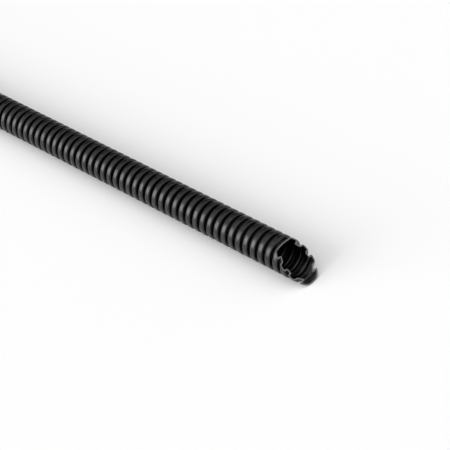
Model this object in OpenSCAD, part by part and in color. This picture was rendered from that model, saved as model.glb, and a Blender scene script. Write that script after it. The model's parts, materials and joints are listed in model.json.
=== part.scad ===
// Flexible corrugated conduit: one straight length of black ribbed plastic tube.
// It lies along X on the plane Z = 0, with its square end at -X and its slanted end at +X.

/* [Conduit] */
// Length from the square end to the tip of the slanted end
length = 1000; // [100:1:3000]
// Outside diameter, over the ribs
outer_d = 20; // [18:0.1:32]
// Inside diameter, clear for the cables
bore_d = 14.6; // [10:0.1:15.5]
// Thickness of the wall, the same all along the wave
wall = 0.6; // [0.4:0.05:0.9]

/* [Ribs] */
// Distance from one rib to the next
pitch = 5.185; // [4.8:0.005:7]
// Width of a rib at its top, between the sharp corners
rib_top = 3; // [2.4:0.05:3.4]
// Lean of a rib's flanks, away from square to the axis
flank_angle = 12; // [4:1:18]
// Radius inside each bend of the wall
bend_r = 0.15; // [0.05:0.05:0.2]

/* [Slanted end] */
// Slant of the cut, away from square to the axis
cut_angle = 47; // [0:1:60]
// How far past the foot of the last rib the cut passes, at the bore's wall on its long side
heel = 0.56; // [0.2:0.01:2]

/* [Hidden] */
black_plastic = "#1b1b1c";

// Radii of the wave's four lands, from the outside in
rib_r = outer_d / 2;
groove_r = bore_d / 2 + wall;
hollow_r = rib_r - wall;
bore_r = bore_d / 2;

// Half widths of those lands, between the sharp corners of the wave
bend_inset = wall / tan((90 + flank_angle) / 2);
flank_run = (rib_r - groove_r) * tan(flank_angle);
rib_half = rib_top / 2;
groove_start = rib_half + flank_run;
hollow_half = rib_half - bend_inset;
bore_start = groove_start - bend_inset;

// Radius outside each bend
bend_outer_r = bend_r + wall;

// Straight steps in a bend's outer and inner arc, and in a whole turn about the axis
outer_steps = 2;
inner_steps = 1;
turn_steps = 48;

function unit(v) = v / norm(v);
function reversed(list) = [for (i = [len(list) - 1:-1:0]) list[i]];

// Points of an arc of radius r that rounds the corner at p, between the points a and b
function bend(a, p, b, r, steps) =
    let (
        u = unit(a - p),
        v = unit(b - p),
        half = acos(u * v) / 2,
        centre = p + unit(u + v) * r / sin(half),
        from = p + u * r / tan(half) - centre,
        to = p + v * r / tan(half) - centre,
        sweep = 180 - 2 * half
    )
    [for (k = [0:steps])
        centre + (sin((1 - k / steps) * sweep) * from + sin(k / steps * sweep) * to) / sin(sweep)];

// One side of a wave: from the middle of its low land, over the high land, to the next low land
function wave(low_r, high_r, low_start, high_half, low_bend, low_steps, high_bend, high_steps) =
    let (
        a = [low_r, -pitch / 2],
        b = [low_r, -low_start],
        c = [high_r, -high_half],
        d = [high_r, high_half],
        e = [low_r, low_start],
        f = [low_r, pitch / 2]
    )
    concat(
        bend(a, b, c, low_bend, low_steps),
        bend(b, c, d, high_bend, high_steps),
        bend(c, d, e, high_bend, high_steps),
        bend(d, e, f, low_bend, low_steps)
    );

outside = wave(groove_r, rib_r, groove_start, rib_half, bend_r, inner_steps, bend_outer_r, outer_steps);
inside = wave(bore_r, hollow_r, bore_start, hollow_half, bend_outer_r, outer_steps, bend_r, inner_steps);

// The slanted cut, on its long side, measured along the axis from the middle of the last rib:
// where it meets the line of the rib tops, and how far a point lies when slid there along the slant
cut_top = (rib_r - bore_r) * tan(cut_angle) - bore_start + heel;
function slid(p) = p.y + (rib_r - p.x) * tan(cut_angle);

// The furthest point of a line that the slanted cut keeps
function kept_reach(line) =
    max([for (i = [1:len(line) - 1])
        let (a = line[i - 1], b = line[i], share = (cut_top - slid(a)) / (slid(b) - slid(a)))
        if (slid(a) <= cut_top)
            slid(b) <= cut_top ? b.y : a.y + share * (b.y - a.y)]);

// Middle of the last rib and the cut's crossing of the axis, from the square end
last_rib = length - kept_reach(outside);
cut_height = last_rib + cut_top - rib_r * tan(cut_angle);

// Ribs that run on past both cuts, and the side of a cube that clears their waste
ribs = ceil(length / pitch) + 2;
waste = 2 * (outer_d / cos(cut_angle) + 2 * pitch);

// The same line repeated for every rib, from past the square end to past the tip
function all_along(line) =
    [for (i = [1 - ribs:1]) for (p = line) p + [0, last_rib + i * pitch]];

// Corrugated wall, turned about Z, with the square end at Z = 0
module corrugated_wall() {
    rotate_extrude($fn = turn_steps)
        polygon(concat(all_along(outside), reversed(all_along(inside))));
}

// Everything below the square end
module square_waste() {
    translate([-waste / 2, -waste / 2, -waste])
        cube(waste);
}

// Everything past the slanted cut, whose long side lies on +X
module slanted_waste() {
    translate([0, 0, cut_height])
        rotate([0, -cut_angle, 0])
            translate([-waste / 2, -waste / 2, 0])
                cube(waste);
}

module conduit() {
    color(black_plastic)
        translate([-length / 2, 0, rib_r])
            rotate([0, 90, 0])
                difference() {
                    corrugated_wall();
                    square_waste();
                    slanted_waste();
                }
}

conduit();
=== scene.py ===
"""Dresses the flexible conduit: a black corrugated plastic tube that lies on a white floor."""

import json
import math

import bmesh
import bpy
from bpy.props import FloatProperty, FloatVectorProperty, IntProperty, PointerProperty
from mathutils import Matrix, Vector


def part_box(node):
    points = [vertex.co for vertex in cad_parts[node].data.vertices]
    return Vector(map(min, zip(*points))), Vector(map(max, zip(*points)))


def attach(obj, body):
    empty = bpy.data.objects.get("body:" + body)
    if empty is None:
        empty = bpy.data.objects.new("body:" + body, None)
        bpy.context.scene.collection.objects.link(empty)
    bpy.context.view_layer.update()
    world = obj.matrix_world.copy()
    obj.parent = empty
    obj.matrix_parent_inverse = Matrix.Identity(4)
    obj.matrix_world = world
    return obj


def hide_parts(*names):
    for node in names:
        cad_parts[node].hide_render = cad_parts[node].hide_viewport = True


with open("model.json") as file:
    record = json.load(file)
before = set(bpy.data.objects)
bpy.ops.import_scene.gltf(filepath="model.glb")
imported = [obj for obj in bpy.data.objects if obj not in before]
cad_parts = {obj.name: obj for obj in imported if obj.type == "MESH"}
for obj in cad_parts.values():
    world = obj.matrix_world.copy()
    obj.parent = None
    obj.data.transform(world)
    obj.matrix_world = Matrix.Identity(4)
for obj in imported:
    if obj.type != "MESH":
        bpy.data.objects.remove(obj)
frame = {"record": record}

bl_info = {
    "name": "Flexible Conduit",
    "version": (1, 0, 0),
    "blender": (4, 5, 0),
    "location": "View3D > Sidebar > Conduit",
    "description": "Builds a straight length of black corrugated conduit and a white studio floor around it",
    "category": "Add Mesh",
}

MM = 0.001
NODE = "conduit"

# Steps in the wave's inward and outward bends, for the ribs near the ends and for the plain ribs between
OUTSIDE_FINE = (2, 5)
OUTSIDE_PLAIN = (0, 2)
INSIDE_FINE = (4, 2)
INSIDE_PLAIN = (0, 0)

# Points nearer than this to the slanted cut are moved onto it
SNAP = 0.002 * MM
# Edges that turn further than this are shaded as sharp
SHARP = math.radians(45)
# Material slot of the two cut faces; the moulded wall has the first slot
CUT_SLOT = 1

# Middle of the tent's dark curtain and of its bright window, as seen from the conduit
CURTAIN = Vector((-0.80, 0.58, 0.15))
WINDOW = Vector((-0.55, -0.76, 0.33))
# Cosine of the angle from the curtain's middle, at its rim and where it is full
CURTAIN_RIM = 0.52
CURTAIN_FULL = 0.86
# Sine of the height above the floor, where the curtain's hem starts and ends, and where the tent is brightest
HEM_START = 0.08
HEM_END = 0.25
TENT_BRIGHTEST = 0.6

# Point on the floor that the camera looks at
AIM_BEHIND_TIP = 69.9 * MM
AIM_ASIDE = 10.6 * MM

# The box that the solids fill, and the dimensions that the record states
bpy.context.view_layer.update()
LOW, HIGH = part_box(NODE)
MOUNTS = {mount["name"]: mount for mount in frame["record"]["mounts"]}
BORE_RADIUS = MOUNTS["bore"]["dims"]["r_mm"] * MM
FIRST_RIB = MOUNTS["end_rib"]["pos_m"][0]


def linear(colour):
    """A hex sRGB colour as linear red, green, blue and alpha."""
    channels = [int(colour[i:i + 2], 16) / 255 for i in (1, 3, 5)]
    return [c / 12.92 if c <= 0.04045 else ((c + 0.055) / 1.055) ** 2.4 for c in channels] + [1.0]


def length_property(name, description, default):
    """A size in metres that the sidebar shows in the scene's units."""
    return FloatProperty(name=name, description=description, default=default, min=0.0,
                         precision=5, subtype="DISTANCE", unit="LENGTH")


def angle_property(name, description, degrees):
    """An angle that the sidebar shows in degrees."""
    return FloatProperty(name=name, description=description, default=math.radians(degrees),
                         subtype="ANGLE", unit="ROTATION")


def colour_property(name, description, colour):
    """A colour from its hex sRGB value."""
    return FloatVectorProperty(name=name, description=description, default=linear(colour),
                               size=4, min=0.0, max=1.0, subtype="COLOR")


class ConduitSizes(bpy.types.PropertyGroup):
    """Sizes and colours of the conduit."""

    outer_radius: length_property(
        "Outside radius", "Radius over the ribs", (HIGH.z - LOW.z) / 2)
    bore_radius: length_property(
        "Bore radius", "Radius of the way that is clear for the cables", BORE_RADIUS)
    wall: length_property(
        "Wall", "Thickness of the wall, the same all along the wave", 0.6 * MM)
    pitch: length_property(
        "Pitch", "Distance from one rib to the next", 5.185 * MM)
    rib_top: length_property(
        "Rib top", "Width of a rib at its top, between the sharp corners", 3.0 * MM)
    flank_angle: angle_property(
        "Flank angle", "Lean of a rib's flanks, away from square to the axis", 12)
    bend_radius: length_property(
        "Bend radius", "Radius inside each bend of the wall", 0.15 * MM)
    cut_angle: angle_property(
        "Cut angle", "Slant of the cut, away from square to the axis", 47)
    heel: length_property(
        "Heel", "How far past the foot of the last rib the cut passes, at the bore's wall", 0.56 * MM)
    sides: IntProperty(
        name="Sides", description="Faces around the middle of the tube; the ends have twice as many",
        default=32, min=8)
    fine_ribs_square: IntProperty(
        name="Fine ribs, square end", description="Ribs with finer bends at the square end",
        default=3, min=1)
    fine_ribs_slanted: IntProperty(
        name="Fine ribs, slanted end", description="Ribs with finer bends at the slanted end",
        default=11, min=6)
    wall_colour: colour_property(
        "Plastic", "Black of the moulded plastic", "#070708")
    rub_colour: colour_property(
        "Rubbed plastic", "Dull dark grey of the plastic where its skin is rubbed", "#343438")
    # Grey of the cut faces: partly the cut plastic's own paler tone, partly a painted highlight of the light
    # that the cut face catches
    cut_tone_and_painted_highlight: colour_property(
        "Cut plastic", "Dull grey of the plastic where a blade went through", "#6a6a6c")


class StudioSettings(bpy.types.PropertyGroup):
    """The floor, the light and the camera."""

    floor_size: length_property(
        "Floor", "Side of the square floor", 30.0)
    floor_colour: colour_property(
        "Floor colour", "White of the floor", "#fefefe")
    tent_top: FloatProperty(
        name="Tent top", description="Radiance of the white tent overhead", default=1.20, min=0.0)
    tent_foot: FloatProperty(
        name="Tent foot", description="Radiance of the tent where it meets the floor", default=0.28, min=0.0)
    curtain: FloatProperty(
        name="Curtain", description="Share of the tent's light that the dark curtain stops",
        default=0.97, min=0.0, max=1.0)
    window: FloatProperty(
        name="Window", description="Radiance of the bright window in the tent, low in front",
        default=7.7, min=0.0)
    window_radius: angle_property(
        "Window radius", "Half of the angle that the window fills, as the conduit sees it", 19)
    window_edge: angle_property(
        "Window edge", "Angle over which the window's light fades at its rim", 10)
    lens: FloatProperty(
        name="Lens", description="Focal length on a 36 mm sensor, in millimetres", default=102.33, min=1.0)
    azimuth: angle_property(
        "Azimuth", "Turn of the camera from looking along +Y towards -X", 41.95)
    elevation: angle_property(
        "Elevation", "Height of the camera above the horizon", 34.31)
    tip: angle_property(
        "Tip", "Turn of the whole view about the conduit's axis", -10)
    distance: length_property(
        "Distance", "Distance from the camera to its aim on the floor", 0.7106)


# The wave of the wall

def bend(a, corner, b, radius, steps):
    """Points of an arc that rounds a corner between the points a and b."""
    u = (a - corner).normalized()
    v = (b - corner).normalized()
    half = u.angle(v) / 2
    centre = corner + (u + v).normalized() * radius / math.sin(half)
    start = corner + u * radius / math.tan(half) - centre
    end = corner + v * radius / math.tan(half) - centre
    sweep = math.pi - 2 * half
    points = []
    for k in range(steps + 1):
        share = k / steps
        points.append(centre + (math.sin((1 - share) * sweep) * start + math.sin(share * sweep) * end)
                      / math.sin(sweep))
    return points


def wave(pitch, low, high, low_steps, high_steps):
    """One side of a rib, as points of place along the axis and radius, from groove to groove.

    low and high are the two lands: radius, half width or start, and radius of the bend.
    """
    low_radius, low_start, low_bend = low
    high_radius, high_half, high_bend = high
    a = Vector((-pitch / 2, low_radius))
    b = Vector((-low_start, low_radius))
    c = Vector((-high_half, high_radius))
    d = Vector((high_half, high_radius))
    e = Vector((low_start, low_radius))
    f = Vector((pitch / 2, low_radius))

    def corner(before, at, after, radius, steps):
        return bend(before, at, after, radius, steps) if steps else [at]

    return (corner(a, b, c, low_bend, low_steps) + corner(b, c, d, high_bend, high_steps)
            + corner(c, d, e, high_bend, high_steps) + corner(d, e, f, low_bend, low_steps))


class Wall:
    """The measures of the corrugated wall, worked out from its driving sizes."""

    def __init__(self, sizes):
        self.sizes = sizes
        lean = math.tan(sizes.flank_angle)
        inset = sizes.wall / math.tan((math.pi / 2 + sizes.flank_angle) / 2)
        rib_half = sizes.rib_top / 2
        self.groove_radius = sizes.bore_radius + sizes.wall
        groove_start = rib_half + (sizes.outer_radius - self.groove_radius) * lean
        outer_bend = sizes.bend_radius + sizes.wall
        self.rib = (sizes.outer_radius, rib_half, outer_bend)
        self.groove = (self.groove_radius, groove_start, sizes.bend_radius)
        self.hollow = (sizes.outer_radius - sizes.wall, rib_half - inset, sizes.bend_radius)
        self.bore = (sizes.bore_radius, groove_start - inset, outer_bend)
        self.ribs = 1 + math.floor((HIGH.x - FIRST_RIB) / sizes.pitch)
        self.last_rib = FIRST_RIB + (self.ribs - 1) * sizes.pitch

    def is_fine(self, rib):
        """True for the ribs near the two ends, which are seen closest."""
        return rib < self.sizes.fine_ribs_square or rib >= self.ribs - self.sizes.fine_ribs_slanted

    def line(self, low, high, fine_steps, plain_steps):
        """A side of the wall from the square end on: place, radius and number of faces of each ring."""
        sizes = self.sizes
        fine = wave(sizes.pitch, low, high, *fine_steps)
        plain = wave(sizes.pitch, low, high, *plain_steps)
        rings = [(LOW.x, low[0], 2 * sizes.sides)]
        for rib in range(self.ribs):
            middle = FIRST_RIB + rib * sizes.pitch
            if self.is_fine(rib):
                rings += [(middle + p.x, p.y, 2 * sizes.sides) for p in fine]
            else:
                rings += [(middle + p.x, p.y, sizes.sides) for p in plain]
        return rings

    def cut_crossing(self):
        """Where the slanted cut crosses the axis."""
        sizes = self.sizes
        slope = math.tan(sizes.cut_angle)
        past_last_rib = sizes.heel - self.bore[1] - sizes.bore_radius * slope
        return self.last_rib + past_last_rib


def join_rings(bm, a, b):
    """Faces between two rings, of which one may have twice as many points as the other."""
    count = min(len(a), len(b))
    step_a = len(a) // count
    step_b = len(b) // count
    faces = []
    for i in range(count):
        along_a = [a[(i * step_a + k) % len(a)] for k in range(step_a + 1)]
        along_b = [b[(i * step_b + k) % len(b)] for k in range(step_b + 1)]
        faces.append(bm.faces.new(along_a + along_b[::-1]))
    return faces


def turn_about_axis(bm, line, height):
    """Turns a line of rings about the tube's axis and returns the rings' points."""
    rings = []
    for place, radius, sides in line:
        angles = [2 * math.pi * k / sides for k in range(sides)]
        rings.append([bm.verts.new((place, radius * math.cos(t), height + radius * math.sin(t)))
                      for t in angles])
    for a, b in zip(rings, rings[1:]):
        join_rings(bm, a, b)
    return rings


def slanted_cut(bm, wall, height):
    """Cuts the tube on the slant and returns the new face's triangles."""
    angle = wall.sizes.cut_angle
    normal = Vector((math.cos(angle), 0, math.sin(angle)))
    point = Vector((wall.cut_crossing(), 0, height))
    everything = bm.verts[:] + bm.edges[:] + bm.faces[:]
    cut = bmesh.ops.bisect_plane(bm, geom=everything, dist=SNAP, plane_co=point, plane_no=normal,
                                 clear_outer=True)["geom_cut"]
    edges = [item for item in cut if isinstance(item, bmesh.types.BMEdge)]
    filled = bmesh.ops.triangle_fill(bm, edges=edges, normal=normal, use_beauty=True)["geom"]
    return [item for item in filled if isinstance(item, bmesh.types.BMFace)]


def conduit_mesh(sizes):
    """The whole conduit as one closed mesh, with its two cut faces in the second material slot."""
    wall = Wall(sizes)
    height = (LOW.z + HIGH.z) / 2
    bm = bmesh.new()
    outside = turn_about_axis(bm, wall.line(wall.groove, wall.rib, OUTSIDE_FINE, OUTSIDE_PLAIN), height)
    inside = turn_about_axis(bm, wall.line(wall.bore, wall.hollow, INSIDE_FINE, INSIDE_PLAIN), height)
    cut_faces = join_rings(bm, outside[0], inside[0]) + slanted_cut(bm, wall, height)
    for face in bm.faces:
        face.smooth = True
    for face in cut_faces:
        face.material_index = CUT_SLOT
        face.smooth = False
    bmesh.ops.recalc_face_normals(bm, faces=bm.faces[:])
    for edge in bm.edges:
        slots = {face.material_index for face in edge.link_faces}
        edge.smooth = len(slots) == 1 and edge.calc_face_angle(0.0) < SHARP
    mesh = bpy.data.meshes.new(NODE)
    bm.to_mesh(mesh)
    bm.free()
    return mesh


# Materials

# Roughness that the rubs add, and that the grooves lose because nothing rubs them
RUB_DULLNESS = 0.15
GROOVE_GLOSS = 0.10
# Period of a wave texture whose scale is 1
WAVE_PERIOD = 2 * math.pi / 20


def add(tree, kind, settings=None, inputs=None):
    """Adds a node, sets its properties and fills its inputs with values or links."""
    made = tree.nodes.new(kind)
    for name, value in (settings or {}).items():
        setattr(made, name, value)
    for name, value in (inputs or {}).items():
        if isinstance(value, bpy.types.NodeSocket):
            tree.links.new(value, made.inputs[name])
        else:
            made.inputs[name].default_value = value
    return made


def new_material(name):
    """An empty material with its tree and its output node."""
    material = bpy.data.materials.new(name)
    material.use_nodes = True
    tree = material.node_tree
    tree.nodes.clear()
    return material, tree, add(tree, "ShaderNodeOutputMaterial")


def per_metre(size):
    """The texture scale at which a pattern repeats about every size, in metres."""
    return 1 / size


def moulded_polypropylene(sizes):
    """Black polypropylene, blown into cooled moulds while soft.

    The eye sees a deep black with a satin gloss that is a little uneven from place to place, a fine
    grain that breaks up the edges of the highlights, dull rubs on the rib tops from handling, grooves
    that nothing rubs and that keep more gloss, and a faint line above and below where the two halves
    of the mould met.
    """
    material, tree, output = new_material("moulded_black_polypropylene")
    place = add(tree, "ShaderNodeTexCoord").outputs["Object"]
    mottle = add(tree, "ShaderNodeTexNoise", inputs={
        "Vector": place, "Scale": per_metre(6 * MM), "Detail": 3.0, "Roughness": 0.6})
    # Real grain is finer than 0.1 mm: it is drawn at 0.5 mm so that it shows
    grain = add(tree, "ShaderNodeTexNoise", inputs={
        "Vector": place, "Scale": per_metre(0.5 * MM), "Detail": 2.0, "Roughness": 0.55})
    radius = from_axis(tree, place, sizes)
    rubs = rib_top_rubs(tree, place, radius, sizes)
    gloss = add(tree, "ShaderNodeMapRange", inputs={
        "Value": mottle.outputs["Fac"], "From Min": 0.3, "From Max": 0.7, "To Min": 0.28, "To Max": 0.36})
    rubbed = add(tree, "ShaderNodeMath", {"operation": "MULTIPLY_ADD"}, {
        0: rubs, 1: RUB_DULLNESS, 2: gloss.outputs["Result"]})
    kept_gloss = add(tree, "ShaderNodeMapRange", inputs={
        "Value": radius, "From Min": sizes.outer_radius - 1.2 * MM,
        "From Max": sizes.outer_radius - 0.2 * MM, "To Min": GROOVE_GLOSS, "To Max": 0.0})
    roughness = add(tree, "ShaderNodeMath", {"operation": "SUBTRACT"}, {
        0: rubbed.outputs["Value"], 1: kept_gloss.outputs["Result"]})
    colour = add(tree, "ShaderNodeMix", {"data_type": "RGBA"}, {
        "Factor": rubs, 6: sizes.wall_colour[:], 7: sizes.rub_colour[:]})
    ripples = add(tree, "ShaderNodeBump", inputs={
        "Height": mottle.outputs["Fac"], "Strength": 0.5, "Distance": 0.08 * MM})
    grained = add(tree, "ShaderNodeBump", inputs={
        "Height": grain.outputs["Fac"], "Strength": 0.6, "Distance": 0.03 * MM,
        "Normal": ripples.outputs["Normal"]})
    surface = add(tree, "ShaderNodeBump", inputs={
        "Height": parting_line(tree, place), "Strength": 0.7, "Distance": 0.05 * MM,
        "Normal": grained.outputs["Normal"]})
    shader = add(tree, "ShaderNodeBsdfPrincipled", inputs={
        "Base Color": colour.outputs[2], "Roughness": roughness.outputs["Value"], "IOR": 1.49,
        "Normal": surface.outputs["Normal"]})
    tree.links.new(shader.outputs["BSDF"], output.inputs["Surface"])
    return material


def from_axis(tree, place, sizes):
    """Distance of a point from the conduit's axis."""
    axis = (0, 0, sizes.outer_radius)
    off_axis = add(tree, "ShaderNodeVectorMath", {"operation": "SUBTRACT"}, {0: place, 1: axis})
    across = add(tree, "ShaderNodeVectorMath", {"operation": "MULTIPLY"}, {
        0: off_axis.outputs["Vector"], 1: (0, 1, 1)})
    radius = add(tree, "ShaderNodeVectorMath", {"operation": "LENGTH"}, {0: across.outputs["Vector"]})
    return radius.outputs["Value"]


def rib_top_rubs(tree, place, radius, sizes):
    """Dull scuffs on the rib tops only, a little drawn out along the conduit."""
    tops = add(tree, "ShaderNodeMapRange", inputs={
        "Value": radius, "From Min": sizes.outer_radius - 0.25 * MM,
        "From Max": sizes.outer_radius - 0.05 * MM})
    drawn_out = add(tree, "ShaderNodeVectorMath", {"operation": "MULTIPLY"}, {0: place, 1: (0.5, 1, 1)})
    # Real scuffs are about 0.2 mm wide: they are drawn at 0.8 mm so that they show
    scuffs = add(tree, "ShaderNodeTexNoise", inputs={
        "Vector": drawn_out.outputs["Vector"], "Scale": per_metre(0.8 * MM), "Detail": 4.0,
        "Roughness": 0.65})
    worn = add(tree, "ShaderNodeMapRange", inputs={
        "Value": scuffs.outputs["Fac"], "From Min": 0.50, "From Max": 0.68})
    rubs = add(tree, "ShaderNodeMath", {"operation": "MULTIPLY"}, {
        0: tops.outputs["Result"], 1: worn.outputs["Result"]})
    return rubs.outputs["Value"]


def parting_line(tree, place):
    """Height of the thin ridge along the top and the bottom, between the halves of the mould."""
    aside = add(tree, "ShaderNodeSeparateXYZ", inputs={"Vector": place}).outputs["Y"]
    off_plane = add(tree, "ShaderNodeMath", {"operation": "ABSOLUTE"}, {0: aside})
    ridge = add(tree, "ShaderNodeMapRange", {"interpolation_type": "SMOOTHSTEP"}, {
        "Value": off_plane.outputs["Value"], "From Min": 0.05 * MM, "From Max": 0.2 * MM,
        "To Min": 1.0, "To Max": 0.0})
    return ridge.outputs["Result"]


def cut_polypropylene(sizes):
    """The same plastic where a blade went through it: paler and duller, with fine drag lines. Its pale grey
    is partly the cut plastic's own tone and partly a painted highlight of the light that the cut face
    catches.
    """
    material, tree, output = new_material("cut_black_polypropylene")
    place = add(tree, "ShaderNodeTexCoord").outputs["Object"]
    # Real drag lines are about 0.1 mm apart: they are drawn at 0.35 mm so that they show
    lines = add(tree, "ShaderNodeTexWave", {"bands_direction": "Z"}, {
        "Vector": place, "Scale": WAVE_PERIOD * per_metre(0.35 * MM), "Distortion": 3.0, "Detail": 2.0})
    shade = add(tree, "ShaderNodeMapRange", inputs={
        "Value": lines.outputs["Fac"], "To Min": 0.8, "To Max": 1.2})
    # The cut faces' pale grey, partly own tone and partly painted highlight, varied by the drag lines
    colour = add(tree, "ShaderNodeVectorMath", {"operation": "SCALE"}, {
        0: sizes.cut_tone_and_painted_highlight[:3], "Scale": shade.outputs["Result"]})
    marks = add(tree, "ShaderNodeBump", inputs={
        "Height": lines.outputs["Fac"], "Strength": 0.4, "Distance": 0.03 * MM})
    shader = add(tree, "ShaderNodeBsdfPrincipled", inputs={
        "Base Color": colour.outputs["Vector"], "Roughness": 0.5, "IOR": 1.49,
        "Normal": marks.outputs["Normal"]})
    tree.links.new(shader.outputs["BSDF"], output.inputs["Surface"])
    return material


def white_floor(studio):
    """A matt white studio floor."""
    material, tree, output = new_material("matt_white_floor")
    shader = add(tree, "ShaderNodeBsdfPrincipled", inputs={
        "Base Color": studio.floor_colour[:], "Roughness": 0.9, "Specular IOR Level": 0.0})
    tree.links.new(shader.outputs["BSDF"], output.inputs["Surface"])
    return material


# The stage

def show(name, data):
    """Puts a new object with that data into the scene."""
    made = bpy.data.objects.new(name, data)
    bpy.context.scene.collection.objects.link(made)
    return made


def make_floor(studio):
    """A flat square floor under the conduit."""
    half = studio.floor_size / 2
    mesh = bpy.data.meshes.new("floor")
    corners = [(-half, -half, 0), (half, -half, 0), (half, half, 0), (-half, half, 0)]
    mesh.from_pydata(corners, [], [(0, 1, 2, 3)])
    mesh.materials.append(white_floor(studio))
    floor = show("floor", mesh)
    floor.location.z = LOW.z - SNAP


def make_room_light(studio):
    """A white tent all round, with a dark curtain behind the square end and a bright window in front."""
    world = bpy.data.worlds.new("white_tent")
    bpy.context.scene.world = world
    world.use_nodes = True
    tree = world.node_tree
    tree.nodes.clear()
    direction = add(tree, "ShaderNodeTexCoord").outputs["Generated"]
    height = add(tree, "ShaderNodeSeparateXYZ", inputs={"Vector": direction}).outputs["Z"]
    tent = add(tree, "ShaderNodeMapRange", {"interpolation_type": "SMOOTHSTEP"}, {
        "Value": height, "From Min": 0.0, "From Max": TENT_BRIGHTEST,
        "To Min": studio.tent_foot, "To Max": studio.tent_top})
    towards_curtain = add(tree, "ShaderNodeVectorMath", {"operation": "DOT_PRODUCT"}, {
        0: direction, 1: CURTAIN.normalized()}).outputs["Value"]
    middle = add(tree, "ShaderNodeMapRange", {"interpolation_type": "SMOOTHSTEP"}, {
        "Value": towards_curtain, "From Min": CURTAIN_RIM, "From Max": CURTAIN_FULL})
    hem = add(tree, "ShaderNodeMapRange", {"interpolation_type": "SMOOTHSTEP"}, {
        "Value": height, "From Min": HEM_START, "From Max": HEM_END, "To Max": studio.curtain})
    curtain = add(tree, "ShaderNodeMath", {"operation": "MULTIPLY"}, {
        0: middle.outputs["Result"], 1: hem.outputs["Result"]})
    stopped = add(tree, "ShaderNodeMath", {"operation": "MULTIPLY"}, {
        0: tent.outputs["Result"], 1: curtain.outputs["Value"]})
    towards_window = add(tree, "ShaderNodeVectorMath", {"operation": "DOT_PRODUCT"}, {
        0: direction, 1: WINDOW.normalized()}).outputs["Value"]
    window = add(tree, "ShaderNodeMapRange", {"interpolation_type": "SMOOTHSTEP"}, {
        "Value": towards_window, "From Min": math.cos(studio.window_radius + studio.window_edge / 2),
        "From Max": math.cos(studio.window_radius - studio.window_edge / 2), "To Max": studio.window})
    dimmed = add(tree, "ShaderNodeMath", {"operation": "SUBTRACT"}, {
        0: tent.outputs["Result"], 1: stopped.outputs["Value"]})
    light = add(tree, "ShaderNodeMath", {"operation": "ADD"}, {
        0: dimmed.outputs["Value"], 1: window.outputs["Result"]})
    background = add(tree, "ShaderNodeBackground", inputs={"Strength": light.outputs["Value"]})
    output = add(tree, "ShaderNodeOutputWorld")
    tree.links.new(background.outputs["Background"], output.inputs["Surface"])


def make_camera(studio):
    """A long lens that looks down on the slanted end."""
    camera = bpy.data.cameras.new("camera")
    camera.lens = studio.lens
    camera.clip_start = 0.01
    camera.clip_end = 100
    view = show("camera", camera)
    aim = Matrix.Translation((HIGH.x - AIM_BEHIND_TIP, AIM_ASIDE, LOW.z))
    turn = Matrix.Rotation(studio.azimuth, 4, "Z")
    tilt = Matrix.Rotation(math.pi / 2 - studio.elevation, 4, "X")
    back = Matrix.Translation((0, 0, studio.distance))
    axis = Matrix.Translation((0, 0, (LOW.z + HIGH.z) / 2))
    tip = axis @ Matrix.Rotation(studio.tip, 4, "X") @ axis.inverted()
    view.matrix_world = tip @ aim @ turn @ tilt @ back
    bpy.context.scene.camera = view


# Operators and panel

class CONDUIT_OT_tube(bpy.types.Operator):
    """Build the corrugated tube with its square end and its slanted end"""

    bl_idname = "conduit.tube"
    bl_label = "Build Conduit"

    def execute(self, context):
        sizes = context.scene.conduit_sizes
        tube = show("corrugated_conduit", conduit_mesh(sizes))
        tube.data.materials.append(moulded_polypropylene(sizes))
        tube.data.materials.append(cut_polypropylene(sizes))
        even = tube.modifiers.new("even_normals", "WEIGHTED_NORMAL")
        even.keep_sharp = True
        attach(tube, "root")
        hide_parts(NODE)
        return {"FINISHED"}


class CONDUIT_OT_studio(bpy.types.Operator):
    """Lay the white floor and set the lights and the camera"""

    bl_idname = "conduit.studio"
    bl_label = "Build Studio"

    def execute(self, context):
        studio = context.scene.conduit_studio
        make_floor(studio)
        make_room_light(studio)
        make_camera(studio)
        context.scene.view_settings.view_transform = "Standard"
        return {"FINISHED"}


class CONDUIT_PT_sidebar(bpy.types.Panel):
    """Sizes, colours and build buttons of the conduit"""

    bl_idname = "CONDUIT_PT_sidebar"
    bl_label = "Flexible Conduit"
    bl_space_type = "VIEW_3D"
    bl_region_type = "UI"
    bl_category = "Conduit"

    def draw(self, context):
        for group, operator in ((context.scene.conduit_sizes, CONDUIT_OT_tube),
                                (context.scene.conduit_studio, CONDUIT_OT_studio)):
            column = self.layout.column()
            for name in group.__annotations__:
                column.prop(group, name)
            column.operator(operator.bl_idname)


CLASSES = (ConduitSizes, StudioSettings, CONDUIT_OT_tube, CONDUIT_OT_studio, CONDUIT_PT_sidebar)


def register():
    for cls in CLASSES:
        bpy.utils.register_class(cls)
    bpy.types.Scene.conduit_sizes = PointerProperty(type=ConduitSizes)
    bpy.types.Scene.conduit_studio = PointerProperty(type=StudioSettings)


def unregister():
    del bpy.types.Scene.conduit_studio
    del bpy.types.Scene.conduit_sizes
    for cls in reversed(CLASSES):
        bpy.utils.unregister_class(cls)


def main():
    """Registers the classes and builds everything."""
    register()
    bpy.ops.conduit.studio()
    bpy.ops.conduit.tube()
    bpy.context.view_layer.update()


if __name__ == "__main__":
    main()
